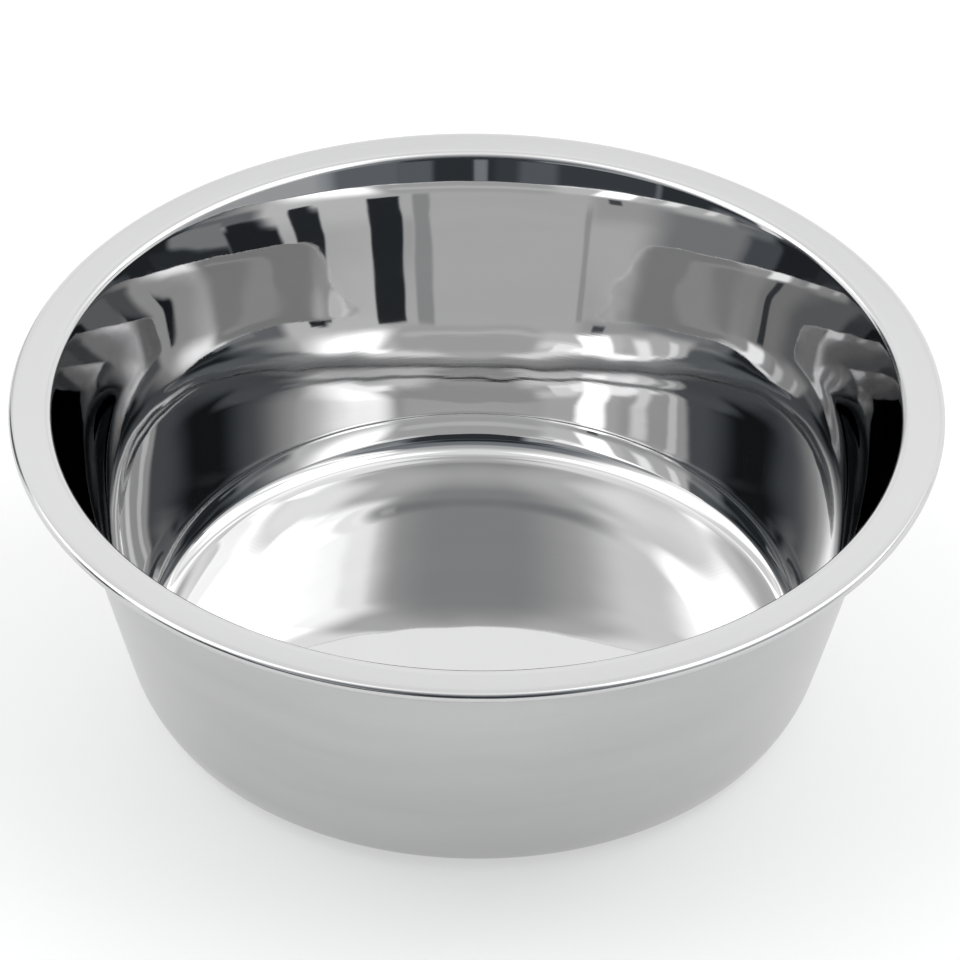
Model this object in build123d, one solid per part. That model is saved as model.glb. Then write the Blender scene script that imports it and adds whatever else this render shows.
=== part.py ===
from build123d import *
import math
import os

# Stainless steel feeding bowl, drawn from one disc of sheet, with a rubber ring bonded under its foot.
# Millimetres. Z points up. The origin is on the axis, on the plane that the bowl stands on.

# Steel sheet
SHEET = 0.7

# Rim: a flat flange, bent out of the wall and rolled under at its edge
RIM_DIAMETER = 220.0
RIM_WIDTH = 8.3
SHOULDER_BEND = 1.3
ROLL_BEND = 0.6
ROLL_TURN = 270.0

# Wall: bowed a little outwards, flared under the rim by a wide bend and turned in by another at its toe
STEEL_HEIGHT = 75.6
FLARE_DRAFT = 21.5
FLARE_BEND = 108.0
WALL_TOP_DRAFT = 13.2
WALL_FOOT_DRAFT = 15.2
TOE_DRAFT = 32.0
TOE_BEND = 24.0

# Floor: a tight corner bend, and a flat foot band round a panel that is crowned upwards
CORNER_BEND = 5.9
FOOT_BAND_WIDTH = 7.5
PANEL_CROWN = 0.4

# Rubber ring, bonded under the middle of the foot band
RING_WIDTH = 5.0
RING_HEIGHT = 1.6
RING_EDGE_ROUND = 0.5

# Levels and radii that follow from the sizes above
STEEL_BOTTOM = RING_HEIGHT
FLOOR_LEVEL = STEEL_BOTTOM + SHEET
RIM_TOP = STEEL_BOTTOM + STEEL_HEIGHT
RIM_RADIUS = RIM_DIAMETER / 2


def into_bowl(draft):
    """Direction square to a wall of this draft, up and towards the axis, in the profile plane."""
    return Vector(-math.cos(math.radians(draft)), math.sin(math.radians(draft)))


# Each bend has one centre for both faces of the sheet, so that the sheet stays equally thick round it.
ROLL_RADIUS = ROLL_BEND + SHEET
ROLL_CENTRE = Vector(RIM_RADIUS - ROLL_RADIUS, RIM_TOP - ROLL_RADIUS)

SHOULDER_RADIUS = SHOULDER_BEND + SHEET
SHOULDER_CENTRE = Vector(RIM_RADIUS - RIM_WIDTH, RIM_TOP - SHOULDER_RADIUS)

FLARE_RADIUS = FLARE_BEND + SHEET
FLARE_CENTRE = SHOULDER_CENTRE - into_bowl(FLARE_DRAFT) * (FLARE_RADIUS - SHOULDER_RADIUS)
WALL_TOP = FLARE_CENTRE + into_bowl(WALL_TOP_DRAFT) * FLARE_RADIUS

CORNER_HEIGHT = FLOOR_LEVEL + CORNER_BEND
CORNER_TO_TOE = into_bowl(TOE_DRAFT) * (TOE_BEND - CORNER_BEND)
CORNER_TO_WALL = CORNER_TO_TOE - into_bowl(WALL_FOOT_DRAFT) * TOE_BEND

WALL_RISE = WALL_TOP.Y - CORNER_HEIGHT - CORNER_TO_WALL.Y
WALL_BOW = WALL_RISE / (into_bowl(WALL_FOOT_DRAFT).Y - into_bowl(WALL_TOP_DRAFT).Y)
WALL_CENTRE = WALL_TOP + into_bowl(WALL_TOP_DRAFT) * WALL_BOW

CORNER_CENTRE = WALL_CENTRE - into_bowl(WALL_FOOT_DRAFT) * WALL_BOW - CORNER_TO_WALL
TOE_CENTRE = CORNER_CENTRE + CORNER_TO_TOE

FOOT_OUTER_RADIUS = CORNER_CENTRE.X
PANEL_RADIUS = FOOT_OUTER_RADIUS - FOOT_BAND_WIDTH
CROWN_RADIUS = (PANEL_RADIUS**2 + PANEL_CROWN**2) / (2 * PANEL_CROWN)
CROWN_CENTRE = Vector(0, FLOOR_LEVEL + PANEL_CROWN - CROWN_RADIUS)


def sheet_face(depth):
    """Profile of one face of the sheet, this deep under the food side, from the axis to the rolled edge."""
    level = FLOOR_LEVEL - depth
    crown_radius = CROWN_RADIUS - depth
    panel_angle = math.degrees(math.acos((level - CROWN_CENTRE.Y) / crown_radius))
    panel = CenterArc(CROWN_CENTRE, crown_radius, 90, -panel_angle)
    corner = CenterArc(CORNER_CENTRE, CORNER_BEND + depth, -90, 90 - TOE_DRAFT)
    toe = CenterArc(TOE_CENTRE, TOE_BEND + depth, -TOE_DRAFT, TOE_DRAFT - WALL_FOOT_DRAFT)
    wall = CenterArc(WALL_CENTRE, WALL_BOW + depth, -WALL_FOOT_DRAFT, WALL_FOOT_DRAFT - WALL_TOP_DRAFT)
    flare = CenterArc(FLARE_CENTRE, FLARE_RADIUS - depth, 180 - WALL_TOP_DRAFT, WALL_TOP_DRAFT - FLARE_DRAFT)
    shoulder = CenterArc(SHOULDER_CENTRE, SHOULDER_RADIUS - depth, 180 - FLARE_DRAFT, FLARE_DRAFT - 90)
    roll = CenterArc(ROLL_CENTRE, ROLL_RADIUS - depth, 90, -ROLL_TURN)
    foot = Line(panel @ 1, corner @ 0)
    flange = Line(shoulder @ 1, roll @ 0)
    return [panel, foot, corner, toe, wall, flare, shoulder, flange, roll]


def make_bowl_shell():
    """The whole bowl as one bent sheet: floor, wall, flange and rolled edge."""
    food_side = sheet_face(0)
    outside = sheet_face(SHEET)
    at_axis = Line(outside[0] @ 0, food_side[0] @ 0)
    at_edge = Line(food_side[-1] @ 1, outside[-1] @ 1)
    profile = make_face(food_side + [at_edge] + outside + [at_axis])
    return revolve(Plane.XZ * profile, Axis.Z)


def make_anti_slip_ring():
    """Flat rubber ring with its top against the foot band and the edges of its underside rounded."""
    middle = FOOT_OUTER_RADIUS - FOOT_BAND_WIDTH / 2
    profile = Pos(middle, RING_HEIGHT / 2) * Rectangle(RING_WIDTH, RING_HEIGHT)
    lower_corners = profile.vertices().group_by(Axis.Y)[0]
    profile = fillet(lower_corners, RING_EDGE_ROUND)
    return revolve(Plane.XZ * profile, Axis.Z)


pieces = {
    "bowl_shell": make_bowl_shell(),
    "anti_slip_ring": make_anti_slip_ring(),
}

os.makedirs("parts", exist_ok=True)
for name, piece in pieces.items():
    export_step(piece, f"parts/{name}.step")
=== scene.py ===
import math

import bpy
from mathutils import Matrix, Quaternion, Vector


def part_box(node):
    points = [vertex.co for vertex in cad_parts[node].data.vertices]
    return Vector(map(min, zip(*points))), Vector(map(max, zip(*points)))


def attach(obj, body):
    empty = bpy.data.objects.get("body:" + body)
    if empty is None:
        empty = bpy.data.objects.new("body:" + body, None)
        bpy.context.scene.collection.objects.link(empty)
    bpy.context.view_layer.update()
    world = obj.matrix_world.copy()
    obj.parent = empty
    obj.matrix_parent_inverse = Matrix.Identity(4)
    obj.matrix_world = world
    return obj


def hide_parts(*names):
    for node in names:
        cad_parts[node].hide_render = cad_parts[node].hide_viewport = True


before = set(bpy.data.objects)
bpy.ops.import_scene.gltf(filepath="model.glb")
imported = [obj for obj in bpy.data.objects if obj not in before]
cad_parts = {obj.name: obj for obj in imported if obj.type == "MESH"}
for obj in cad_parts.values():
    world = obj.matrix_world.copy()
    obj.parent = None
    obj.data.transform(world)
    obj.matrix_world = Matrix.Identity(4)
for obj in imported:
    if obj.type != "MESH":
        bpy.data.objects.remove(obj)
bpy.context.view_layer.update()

# Sizes of the bent sheet, in metres and degrees. Rim radius and heights come from the bowl_shell part of
# model.glb.
SHEET = 0.0007
RIM_WIDTH = 0.0083
SHOULDER_BEND = 0.0013
ROLL_BEND = 0.0006
ROLL_TURN = 270.0
FLARE_DRAFT = 21.5
FLARE_BEND = 0.108
WALL_TOP_DRAFT = 13.2
WALL_FOOT_DRAFT = 15.2
TOE_DRAFT = 32.0
TOE_BEND = 0.024
CORNER_BEND = 0.0059
FOOT_BAND_WIDTH = 0.0075
PANEL_CROWN = 0.0004

# Ring pressed in the floor, in metres: where each of its two slopes starts and ends from the axis,
# and how far it rises
FLOOR_PRESSING = [(0.0538, 0.0608, -0.00025), (0.0608, 0.0748, 0.0012)]

# Fineness of the spun mesh: steps round the axis, and along each run of the profile
SEGMENTS = 300
PANEL_STEPS = 24
STRAIGHT_STEPS = 6
CORNER_STEPS = 28
TOE_STEPS = 16
WALL_STEPS = 32
FLARE_STEPS = 16
SHOULDER_STEPS = 12
ROLL_STEPS = 24

# Material zones of the sheet, and the name of its coordinates
INSIDE_ZONE = 0
RIM_ZONE = 1
OUTSIDE_ZONE = 2
SHEET_UV = "around_and_along"

# Noise cells per metre, in three directions. For polishing lines and smears the third runs along the sheet.
WAVE_SCALE = (30, 30, 30)
POLISH_SCALE = (30, 30, 3200)
SMEAR_SCALE = (14, 14, 90)
GRAIN_SCALE = (2600, 2600, 2600)
DUST_SCALE = (120, 120, 120)

# Parts of the noise over which roughness and shades change
NOISE_RANGE = (0.3, 0.7)
DUST_RANGE = (0.35, 0.8)

RUBBER_SHADES = ((0.022, 0.022, 0.024), (0.06, 0.06, 0.062))
RUBBER_ROUGHNESS = (0.62, 0.85)
GRAIN_DEPTH = 0.00012

# Camera, fitted to the outline of the rim. Its distance is in rim radii.
CAMERA_ELEVATION = 36.97
CAMERA_DISTANCE = 16.0
CAMERA_ROLL = 0.66
IMAGE_SIDE = 960
RADIUS_IN_PIXELS = 468.3
RIM_CENTRE_PIXEL = (477.0, 399.7)
SENSOR_WIDTH = 36.0

# Table top: half its side in metres, its colour, and how much of plain white the eye sees in it
TABLE_HALF = 4.0
TABLE_COLOUR = (0.92, 0.92, 0.92, 1)
TABLE_ROUGHNESS = 0.9
TABLE_SPECULAR = 0.1
TABLE_WHITE = 0.5

# Tent round the bowl, seen only in reflections and as light: radius in metres, elevation of its foot and
# top in degrees, and the fineness of its mesh. The backdrop is its brightness where there is no card.
TENT_RADIUS = 3.0
TENT_FOOT = -2.0
TENT_TOP = 89.9
TENT_COLUMNS = 600
TENT_ROWS = 150
LIGHT_LEVEL = 1.24
SHADE_COOLNESS = 0.14
BACKDROP = 1.0

# Cards of the tent. Each lies over those before it: range of azimuth, range of elevation, lean, strength.
# Azimuth is from the back, positive to the right. A range is (from, to, soft width at from, at to).
# Angles are in degrees. The lean is how far a card's azimuth moves per degree above its lower edge.
# Strength 1 is white.
CARDS = {
    "back_upper": ((-60, 36, 12, 12), (31, 66, 6, 10), 0, 0.88),
    "back_band": ((-46, 46, 12, 12), (37, 41, 1.5, 1.5), 0, 1.12),
    "ceiling_left": ((-98, -40, 30, 24), (56, 84, 10, 10), 0, 1.7),
    "ceiling_left_low": ((-122, -70, 24, 24), (55, 68, 8, 8), 0, 1.5),
    "ceiling_right": ((36, 96, 24, 20), (60, 84, 10, 10), 0, 1.85),
    "ceiling_right_low": ((92, 136, 16, 20), (56, 69, 8, 8), 0, 2.5),
    "glow_left": ((-112, -52, 8, 12), (20, 58, 6, 6), 0, 1.2),
    "front_top": ((138, 222, 50, 50), (56, 80, 16, 20), 0, 0.55),
    "front_upper": ((132, 234, 8, 36), (34, 61, 6, 8), 0, 0.24),
    "front_middle": ((132, 246, 8, 10), (21, 34, 6, 6), 0, 0.32),
    "softbox_left": ((-89, -52, 40, 16), (36, 57, 14, 7), -1.0, 3.9),
    "softbox_left_top": ((-92, -58, 16, 14), (52, 59.5, 4, 4), -0.5, 3.2),
    "panel_right": ((40, 92, 10, 8), (35, 62, 4, 6), 0, 1.25),
    "panel_right_upper": ((40, 84, 10, 10), (46, 54, 6, 6), 0, 1.7),
    "panel_right_far": ((84, 129, 8, 5), (35, 58, 4, 6), 0.8, 1.05),
    "panel_right_top": ((51, 124, 4, 12), (51, 62, 4, 4), 0, 3.0),
    "panel_right_edge": ((51, 64, 3, 5), (48, 60, 4, 3), 0, 2.2),
    "strip_right": ((58.5, 77, 5, 5), (36, 66, 4, 6), 0.75, 3.9),
    "stripe_right": ((93, 103, 6, 6), (37, 66, 4, 5), 1.0, 2.1),
    "stripe_right_far": ((116.5, 122.5, 3, 3), (35, 60, 3, 5), 0.8, 1.75),
    "fill_right": ((58, 102, 10, 10), (21, 34, 4, 4), 0, 0.78),
    "front_deep": ((156, 208, 8, 8), (-20, 32, 8, 4), 0, 0.04),
    "front_deep_upper": ((158, 206, 30, 30), (32, 43, 4, 7), 0, 0.03),
    "front_left": ((-164, -133.5, 5, 3), (16.8, 28, 1.5, 3), 0, 0.45),
    "left_low_far": ((-176, -133, 3, 3), (-20, 16.8, 3, 1.5), 0, 0.06),
    "left_low": ((-133.5, -104.5, 3, 3), (-20, 20.3, 3, 1.5), 0, 0.04),
    "left_low_top": ((-131, -110, 2.5, 14), (18, 22.6, 2, 2.5), 0, 0.04),
    "left_low_glow": ((-118, -104, 4, 4), (-20, 4, 3, 3), 0, 0.15),
    "right_low": ((92, 142, 26, 8), (-20, 30, 3, 8), 0, 0.44),
    "right_low_front": ((140, 160, 8, 4), (-20, 24, 3, 6), 0, 0.16),
    "bar_left": ((-97, -82.5, 1.5, 1.5), (-20, 24, 3, 3), 0, 0.05),
    "bar_left_top": ((-97, -86, 1.5, 5), (21, 27.6, 2, 1.5), 0, 0.05),
    "post_left": ((-56.8, -39.8, 1.5, 1.5), (-20, 27.3, 3, 1.5), 0, 0.05),
    "haze_left": ((-39.5, -34, 2, 2), (-20, 21, 3, 3), 0, 0.78),
    "post_back": ((-33.5, -25, 2, 2), (-20, 30, 3, 6), 0, 0.62),
    "line_right": ((55.5, 58.5, 1, 1), (-20, 24, 3, 3), 0, 0.7),
    "line_right_far": ((66, 72.5, 1.5, 1.5), (26, 33, 1.5, 2), 0, 0.15),
    "slit_left": ((190, 200, 3, 3), (-20, 12, 3, 3), 0, 0.13),
    "slit_middle": ((178.5, 182, 1, 1), (-20, 12, 3, 3), 0, 0.25),
    "slit_right": ((159, 168, 2, 2), (-20, 12, 3, 3), 0, 0.14),
}

shell_low, shell_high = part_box("bowl_shell")
RIM_RADIUS = shell_high.x
RIM_TOP = shell_high.z
STEEL_BOTTOM = shell_low.z


def arc(centre, radius, start, sweep, steps):
    """Points of an arc in the profile plane, angles in degrees from the outward direction."""
    points = []
    for step in range(steps + 1):
        angle = math.radians(start + sweep * step / steps)
        points.append((centre[0] + radius * math.cos(angle), centre[1] + radius * math.sin(angle)))
    return points


def line(start, end):
    """Points of a straight run in the profile plane, without its ends."""
    shares = [step / STRAIGHT_STEPS for step in range(1, STRAIGHT_STEPS)]
    return [
        (start[0] + (end[0] - start[0]) * share, start[1] + (end[1] - start[1]) * share)
        for share in shares
    ]


def along_draft(start, draft, length):
    """The point this far from start, square to a wall of this draft, up and towards the axis."""
    angle = math.radians(draft)
    return (start[0] - length * math.cos(angle), start[1] + length * math.sin(angle))


def sheet_face(depth):
    """One face of the sheet, this deep under the food side: its points from the axis to the rolled edge,
    and how many of them lie in the basin below the rim."""
    floor_level = STEEL_BOTTOM + SHEET
    roll_radius = ROLL_BEND + SHEET
    roll_centre = (RIM_RADIUS - roll_radius, RIM_TOP - roll_radius)
    shoulder_radius = SHOULDER_BEND + SHEET
    shoulder_centre = (RIM_RADIUS - RIM_WIDTH, RIM_TOP - shoulder_radius)
    flare_radius = FLARE_BEND + SHEET
    flare_centre = along_draft(shoulder_centre, FLARE_DRAFT, shoulder_radius - flare_radius)
    wall_top = along_draft(flare_centre, WALL_TOP_DRAFT, flare_radius)

    toe_over_corner = along_draft((0, floor_level + CORNER_BEND), TOE_DRAFT, TOE_BEND - CORNER_BEND)
    wall_over_corner = along_draft(toe_over_corner, WALL_FOOT_DRAFT, -TOE_BEND)
    sine_growth = math.sin(math.radians(WALL_FOOT_DRAFT)) - math.sin(math.radians(WALL_TOP_DRAFT))
    wall_bow = (wall_top[1] - wall_over_corner[1]) / sine_growth
    wall_centre = along_draft(wall_top, WALL_TOP_DRAFT, wall_bow)
    wall_foot = along_draft(wall_centre, WALL_FOOT_DRAFT, -wall_bow)
    corner_centre = (wall_foot[0] - wall_over_corner[0], floor_level + CORNER_BEND)
    toe_centre = (corner_centre[0] + toe_over_corner[0], toe_over_corner[1])

    panel_radius = corner_centre[0] - FOOT_BAND_WIDTH
    crown_radius = (panel_radius**2 + PANEL_CROWN**2) / (2 * PANEL_CROWN)
    crown_centre = (0.0, floor_level + PANEL_CROWN - crown_radius)
    panel_angle = math.degrees(math.acos((floor_level - depth - crown_centre[1]) / (crown_radius - depth)))

    flare_start = 180 - WALL_TOP_DRAFT
    flare_end = 180 - FLARE_DRAFT
    panel = arc(crown_centre, crown_radius - depth, 90, -panel_angle, PANEL_STEPS)
    corner = arc(corner_centre, CORNER_BEND + depth, -90, 90 - TOE_DRAFT, CORNER_STEPS)
    toe = arc(toe_centre, TOE_BEND + depth, -TOE_DRAFT, TOE_DRAFT - WALL_FOOT_DRAFT, TOE_STEPS)
    wall = arc(wall_centre, wall_bow + depth, -WALL_FOOT_DRAFT, WALL_FOOT_DRAFT - WALL_TOP_DRAFT, WALL_STEPS)
    flare = arc(flare_centre, flare_radius - depth, flare_start, flare_end - flare_start, FLARE_STEPS)
    shoulder = arc(shoulder_centre, shoulder_radius - depth, flare_end, 90 - flare_end, SHOULDER_STEPS)
    roll = arc(roll_centre, roll_radius - depth, 90, -ROLL_TURN, ROLL_STEPS)

    floor = panel + line(panel[-1], corner[0]) + corner
    basin = floor + toe[1:] + wall[1:] + flare[1:]
    rim = shoulder[1:] + line(shoulder[-1], roll[0]) + roll
    return basin + rim, len(basin)


def add_object(name, data):
    """A new object in the scene."""
    thing = bpy.data.objects.new(name, data)
    bpy.context.scene.collection.objects.link(thing)
    return thing


def make_shell(materials):
    """The bowl as one spun, closed sheet. The materials are for its inside, its rim and its outside."""
    food_side, basin_count = sheet_face(0)
    outside, outside_basin_count = sheet_face(SHEET)
    profile = food_side + outside[::-1]
    last = len(profile) - 1
    rim_end = len(profile) - outside_basin_count

    along = [0.0]
    for (r0, z0), (r1, z1) in zip(profile, profile[1:]):
        along.append(along[-1] + math.hypot(r1 - r0, z1 - z0))

    ring_points = profile[1:-1]
    points = [(0, 0, profile[0][1]), (0, 0, profile[-1][1])]
    for segment in range(SEGMENTS):
        angle = 2 * math.pi * segment / SEGMENTS
        points += [(r * math.cos(angle), r * math.sin(angle), z) for r, z in ring_points]

    def point_at(segment, index):
        """Number of the mesh point here. The two ends of the profile lie on the axis."""
        if index == 0:
            return 0
        if index == last:
            return 1
        return 2 + (segment % SEGMENTS) * len(ring_points) + index - 1

    def zone_at(index):
        """Material zone of the faces between this point of the profile and the next."""
        if index < basin_count:
            return INSIDE_ZONE
        if index < rim_end:
            return RIM_ZONE
        return OUTSIDE_ZONE

    faces, zones, places = [], [], []
    for segment in range(SEGMENTS):
        for index in range(last):
            loop = [(segment, index), (segment, index + 1), (segment + 1, index + 1), (segment + 1, index)]
            if index == 0:
                loop = loop[:3]
            elif index == last - 1:
                loop = [loop[0], loop[1], loop[3]]
            faces.append([point_at(*place) for place in loop])
            places += [(place[0] / SEGMENTS, along[place[1]]) for place in loop]
            zones.append(zone_at(index))

    mesh = bpy.data.meshes.new("bowl")
    mesh.from_pydata(points, [], faces)
    for material in materials:
        mesh.materials.append(material)
    mesh.polygons.foreach_set("material_index", zones)
    mesh.polygons.foreach_set("use_smooth", [True] * len(faces))
    uv = mesh.uv_layers.new(name=SHEET_UV)
    uv.data.foreach_set("uv", [value for place in places for value in place])
    mesh.update()

    shell = add_object("drawn_bowl", mesh)
    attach(shell, "root")
    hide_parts("bowl_shell")


def new_material(name):
    """A node material, with its nodes and links."""
    material = bpy.data.materials.new(name)
    material.use_nodes = True
    return material, material.node_tree.nodes, material.node_tree.links


def noise(nodes, links, vector, scale, detail=2.0, roughness=0.5):
    """Noise of about 0 to 1 at these coordinates, with its cells per metre in three directions."""
    stretch = nodes.new("ShaderNodeVectorMath")
    stretch.operation = "MULTIPLY"
    links.new(vector, stretch.inputs[0])
    stretch.inputs[1].default_value = scale
    node = nodes.new("ShaderNodeTexNoise")
    node.inputs["Scale"].default_value = 1.0
    node.inputs["Detail"].default_value = detail
    node.inputs["Roughness"].default_value = roughness
    links.new(stretch.outputs["Vector"], node.inputs["Vector"])
    return node.outputs["Fac"]


def to_range(nodes, links, value, source, target):
    """A value stretched from one range to another, and kept inside it."""
    node = nodes.new("ShaderNodeMapRange")
    node.inputs["From Min"].default_value = source[0]
    node.inputs["From Max"].default_value = source[1]
    node.inputs["To Min"].default_value = target[0]
    node.inputs["To Max"].default_value = target[1]
    links.new(value, node.inputs["Value"])
    return node.outputs["Result"]


def math_of(nodes, links, operation, first, second):
    """Two values put together by a math node."""
    node = nodes.new("ShaderNodeMath")
    node.operation = operation
    links.new(first, node.inputs[0])
    links.new(second, node.inputs[1])
    return node.outputs["Value"]


def shade_ramp(nodes, links, value, positions, shades):
    """A colour that goes from the first shade to the second as the value goes between the positions."""
    node = nodes.new("ShaderNodeValToRGB")
    for element, position, shade in zip(node.color_ramp.elements, positions, shades):
        element.position = position
        element.color = (*shade, 1)
    links.new(value, node.inputs["Fac"])
    return node.outputs["Color"]


def bump(nodes, links, height, distance, normal=None):
    """A normal that follows the height, of this depth in metres, on top of another normal."""
    node = nodes.new("ShaderNodeBump")
    node.inputs["Distance"].default_value = distance
    links.new(height, node.inputs["Height"])
    if normal:
        links.new(normal, node.inputs["Normal"])
    return node.outputs["Normal"]


def length_along(nodes, links):
    """Length along the sheet from the axis, in metres. On the floor it is the radius."""
    along = nodes.new("ShaderNodeUVMap")
    along.uv_map = SHEET_UV
    split = nodes.new("ShaderNodeSeparateXYZ")
    links.new(along.outputs["UV"], split.inputs["Vector"])
    return split.outputs["Y"]


def lathe_coordinates(nodes, links, place):
    """Coordinates for marks that run round the bowl: place across it, and length along its sheet."""
    split = nodes.new("ShaderNodeSeparateXYZ")
    links.new(place, split.inputs["Vector"])
    joined = nodes.new("ShaderNodeCombineXYZ")
    links.new(split.outputs["X"], joined.inputs["X"])
    links.new(split.outputs["Y"], joined.inputs["Y"])
    links.new(length_along(nodes, links), joined.inputs["Z"])
    return joined.outputs["Vector"]


def pressed_floor(nodes, links):
    """Height in metres of the ring pressed in the floor: a faint step round the middle panel, then a gentle
    rise to the corner."""
    along = length_along(nodes, links)
    heights = []
    for start, end, rise in FLOOR_PRESSING:
        slope = to_range(nodes, links, along, (start, end), (0, rise))
        slope.node.interpolation_type = "SMOOTHSTEP"
        heights.append(slope)
    return math_of(nodes, links, "ADD", *heights)


def steel(name, shades, roughness, wave_depth, polish_depth, pressed=False):
    """Stainless steel: a slow waviness of the sheet, fine polishing lines round it, and faint smears."""
    material, nodes, links = new_material(name)
    shader = nodes["Principled BSDF"]
    place = nodes.new("ShaderNodeTexCoord").outputs["Object"]
    lathe = lathe_coordinates(nodes, links, place)

    waves = noise(nodes, links, place, WAVE_SCALE)
    polish = noise(nodes, links, lathe, POLISH_SCALE, detail=3.0)
    smears = noise(nodes, links, lathe, SMEAR_SCALE, detail=3.0, roughness=0.6)

    links.new(shade_ramp(nodes, links, smears, NOISE_RANGE, shades), shader.inputs["Base Color"])
    links.new(to_range(nodes, links, smears, NOISE_RANGE, roughness), shader.inputs["Roughness"])
    base = bump(nodes, links, pressed_floor(nodes, links), 1.0) if pressed else None
    wavy = bump(nodes, links, waves, wave_depth, base)
    links.new(bump(nodes, links, polish, polish_depth, wavy), shader.inputs["Normal"])
    shader.inputs["Metallic"].default_value = 1
    return material


def steel_inside():
    """Mirror polish, with the pressed ring of the floor."""
    shades = ((0.535, 0.535, 0.537), (0.55, 0.55, 0.552))
    roughness = (0.012, 0.03)
    return steel("steel_inside", shades, roughness, wave_depth=0.0001, polish_depth=0.0000004, pressed=True)


def steel_rim():
    """Satin."""
    shades = ((0.57, 0.57, 0.572), (0.59, 0.59, 0.592))
    roughness = (0.14, 0.18)
    return steel("steel_rim", shades, roughness, wave_depth=0.00003, polish_depth=0.000001)


def steel_outside():
    """Brushed satin."""
    shades = ((0.52, 0.52, 0.522), (0.56, 0.56, 0.562))
    roughness = (0.24, 0.27)
    return steel("steel_outside", shades, roughness, wave_depth=0.00003, polish_depth=0.000002)


def rubber():
    """Matte moulded rubber with a fine grain and a little dust."""
    material, nodes, links = new_material("rubber_moulded")
    shader = nodes["Principled BSDF"]
    place = nodes.new("ShaderNodeTexCoord").outputs["Object"]
    grain = noise(nodes, links, place, GRAIN_SCALE)
    dust = noise(nodes, links, place, DUST_SCALE, detail=4.0)
    links.new(shade_ramp(nodes, links, dust, DUST_RANGE, RUBBER_SHADES), shader.inputs["Base Color"])
    links.new(to_range(nodes, links, dust, NOISE_RANGE, RUBBER_ROUGHNESS), shader.inputs["Roughness"])
    links.new(bump(nodes, links, grain, GRAIN_DEPTH), shader.inputs["Normal"])
    return material


def make_camera():
    """The photograph's viewpoint: the fitted distance and elevation, turned to need no lens shift."""
    elevation = math.radians(CAMERA_ELEVATION)
    roll = math.radians(CAMERA_ROLL)
    rim_centre = Vector((0, 0, RIM_TOP))
    up = Vector((0, math.sin(elevation), math.cos(elevation)))
    back = Vector((0, -math.cos(elevation), math.sin(elevation)))

    to_right = IMAGE_SIDE / 2 - RIM_CENTRE_PIXEL[0]
    to_below = IMAGE_SIDE / 2 - RIM_CENTRE_PIXEL[1]
    aim_right = to_right * math.cos(roll) + to_below * math.sin(roll)
    aim_below = to_below * math.cos(roll) - to_right * math.sin(roll)
    metres_per_pixel = RIM_RADIUS / RADIUS_IN_PIXELS
    aim = rim_centre + Vector((aim_right * metres_per_pixel, 0, 0)) - up * (aim_below * metres_per_pixel)

    data = bpy.data.cameras.new("camera")
    data.sensor_width = SENSOR_WIDTH
    data.lens = SENSOR_WIDTH * RADIUS_IN_PIXELS * CAMERA_DISTANCE / IMAGE_SIDE
    camera = add_object("camera", data)
    camera.location = rim_centre + back * (CAMERA_DISTANCE * RIM_RADIUS)
    camera.rotation_mode = "QUATERNION"
    towards = (aim - camera.location).to_track_quat("-Z", "Y")
    camera.rotation_quaternion = towards @ Quaternion((0, 0, 1), roll)
    bpy.context.scene.camera = camera


def soft_step(distance, softness):
    """0 outside an edge, 1 inside it, and smooth between."""
    share = min(max(distance / softness + 0.5, 0.0), 1.0)
    return share * share * (3 - 2 * share)


def inside(distance_from, distance_to, softness_from, softness_to):
    """How far a place lies inside a range with two soft edges, from 0 to 1."""
    return soft_step(distance_from, softness_from) * soft_step(distance_to, softness_to)


def tent_glow(azimuth, elevation):
    """Brightness of the tent in one direction."""
    glow = BACKDROP
    for (left, right, *side_edges), (low, high, *level_edges), lean, strength in CARDS.values():
        upwards = inside(elevation - low, high - elevation, *level_edges)
        if upwards > 0:
            middle = (left + right) / 2 + lean * (elevation - low)
            from_middle = (azimuth - middle + 180) % 360 - 180
            half_width = (right - left) / 2
            across = inside(half_width + from_middle, half_width - from_middle, *side_edges)
            glow += (strength - glow) * across * upwards
    return LIGHT_LEVEL * glow


def tent_material():
    """Light of the colour that the tent has at each place."""
    material, nodes, links = new_material("tent")
    nodes.clear()
    glow = nodes.new("ShaderNodeAttribute")
    glow.attribute_name = "glow"
    light = nodes.new("ShaderNodeEmission")
    output = nodes.new("ShaderNodeOutputMaterial")
    links.new(glow.outputs["Color"], light.inputs["Color"])
    links.new(light.outputs["Emission"], output.inputs["Surface"])
    material.cycles.emission_sampling = "NONE"
    return material


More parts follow.
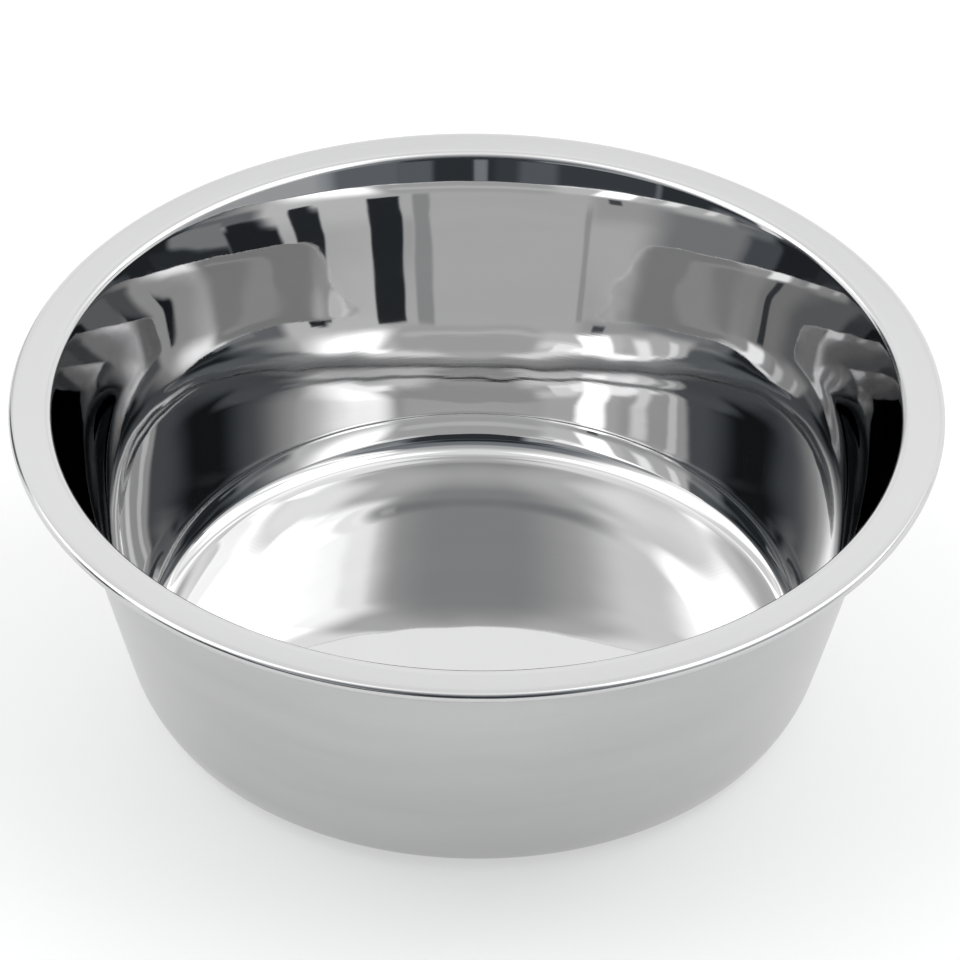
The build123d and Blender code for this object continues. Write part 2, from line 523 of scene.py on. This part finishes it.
def make_tent():
    """The tent as one dome that glows as its cards say, slightly cool in the dark."""
    points, glows, faces = [], [], []
    for row in range(TENT_ROWS + 1):
        elevation = TENT_FOOT + (TENT_TOP - TENT_FOOT) * row / TENT_ROWS
        level = TENT_RADIUS * math.cos(math.radians(elevation))
        height = TENT_RADIUS * math.sin(math.radians(elevation))
        for column in range(TENT_COLUMNS):
            azimuth = 360 * column / TENT_COLUMNS
            turn = math.radians(azimuth)
            points.append((level * math.sin(turn), level * math.cos(turn), height))
            glow = tent_glow(azimuth, elevation)
            cool = SHADE_COOLNESS * max(1 - glow, 0) ** 2
            glows += [glow * (1 - cool), glow, glow * (1 + cool), 1.0]
    for row in range(TENT_ROWS):
        for column in range(TENT_COLUMNS):
            here = row * TENT_COLUMNS + column
            beside = row * TENT_COLUMNS + (column + 1) % TENT_COLUMNS
            faces.append((here, beside, beside + TENT_COLUMNS, here + TENT_COLUMNS))
    mesh = bpy.data.meshes.new("tent")
    mesh.from_pydata(points, [], faces)
    mesh.attributes.new("glow", "FLOAT_COLOR", "POINT").data.foreach_set("color", glows)
    mesh.materials.append(tent_material())
    tent = add_object("tent", mesh)
    tent.visible_camera = False


def table_material():
    """Matte white that takes a shadow. Camera and reflections also see it mixed with plain white."""
    material, nodes, links = new_material("table")
    shader = nodes["Principled BSDF"]
    shader.inputs["Base Color"].default_value = TABLE_COLOUR
    shader.inputs["Roughness"].default_value = TABLE_ROUGHNESS
    shader.inputs["Specular IOR Level"].default_value = TABLE_SPECULAR

    path = nodes.new("ShaderNodeLightPath")
    seen = path.outputs["Is Camera Ray"]
    for ray in ("Is Glossy Ray", "Is Transmission Ray"):
        seen = math_of(nodes, links, "MAXIMUM", seen, path.outputs[ray])
    white = nodes.new("ShaderNodeEmission")
    white.inputs["Strength"].default_value = 1.0
    paper = nodes.new("ShaderNodeMixShader")
    links.new(to_range(nodes, links, seen, (0, 1), (0, TABLE_WHITE)), paper.inputs["Fac"])
    links.new(shader.outputs["BSDF"], paper.inputs[1])
    links.new(white.outputs["Emission"], paper.inputs[2])
    links.new(paper.outputs["Shader"], nodes["Material Output"].inputs["Surface"])
    return material


def make_table():
    """White table top."""
    signs = [(-1, -1), (1, -1), (1, 1), (-1, 1)]
    mesh = bpy.data.meshes.new("table")
    mesh.from_pydata([(TABLE_HALF * x, TABLE_HALF * y, 0) for x, y in signs], [], [(0, 1, 2, 3)])
    mesh.materials.append(table_material())
    table = add_object("table", mesh)


def make_world():
    """White surroundings outside the tent."""
    world = bpy.data.worlds.new("studio")
    world.use_nodes = True
    background = world.node_tree.nodes["Background"]
    background.inputs["Color"].default_value = (1, 1, 1, 1)
    background.inputs["Strength"].default_value = 1.0
    bpy.context.scene.world = world


make_shell([steel_inside(), steel_rim(), steel_outside()])
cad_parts["anti_slip_ring"].material_slots[0].material = rubber()
make_camera()
make_table()
make_world()
make_tent()

bpy.context.scene.view_settings.view_transform = "Standard"
